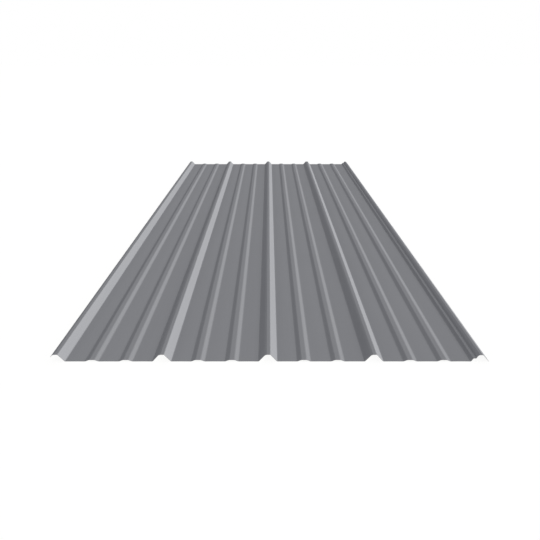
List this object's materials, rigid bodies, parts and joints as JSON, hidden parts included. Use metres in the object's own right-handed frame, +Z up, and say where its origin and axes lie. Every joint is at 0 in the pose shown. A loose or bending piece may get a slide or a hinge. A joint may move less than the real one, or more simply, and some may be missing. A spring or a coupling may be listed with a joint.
{
  "type": "ribbed metal roofing sheet",
  "caption": "Flat-lying roll-formed metal roof and wall sheet with trapezoid ribs, low stiffening ribs in its pans, a short lap lip on one side and a bearing leg on the other.",
  "frame": {"origin": "middle of the bounding box in X and Y, at the level of the pans' underside that the sheet lies on", "axes": "+X across the sheet from the lap lip to the bearing leg, +Y along the ribs, +Z up through the weather side"},
  "size_m": [0.9442, 2.4384, 0.0164],
  "materials": {
    "ribbed_sheet": "grey factory paint, low sheen, sheared edges bare"
  },
  "bodies": {
    "root": {"ribbed_sheet": "ribbed_sheet"}
  },
  "joints": []
}
